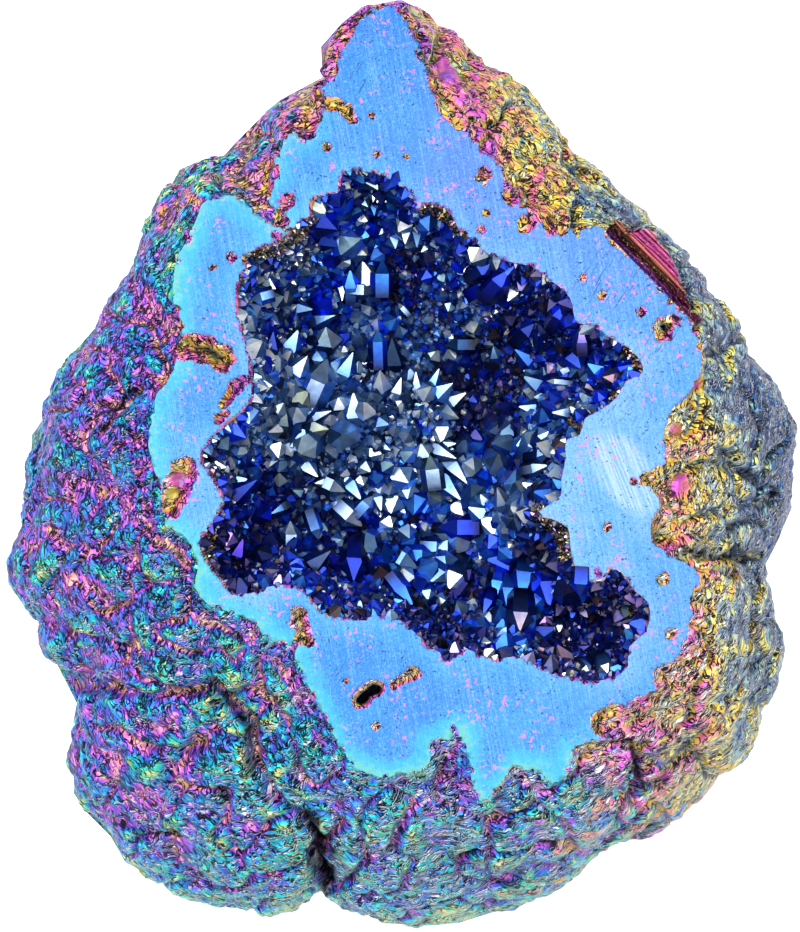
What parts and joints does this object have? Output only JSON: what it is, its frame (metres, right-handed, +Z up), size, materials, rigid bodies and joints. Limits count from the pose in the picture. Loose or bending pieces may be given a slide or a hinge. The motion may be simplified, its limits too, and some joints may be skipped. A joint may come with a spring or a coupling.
{
  "type": "titanium-coated quartz geode half",
  "caption": "Half of a quartz geode with a titanium coating: knobbly rind, flat ground rim and a hollow lined with quartz points.",
  "frame": {"origin": "middle of the base, on the surface that the stone rests on", "axes": "+Z up, square to the ground face; +Y towards the pointed end; +X to the right as seen from above"},
  "size_m": [0.0792, 0.0928, 0.038],
  "materials": {
    "stone": "stone under a thin metallic film: the knobbly rind runs through pink, violet, teal and gold, and the flat ground face is sky blue with fine saw lines and scratches",
    "crystal": "glossy quartz points under a dark blue metallic film, near white where they catch the light"
  },
  "bodies": {
    "root": {"geode": "stone"}
  },
  "joints": []
}
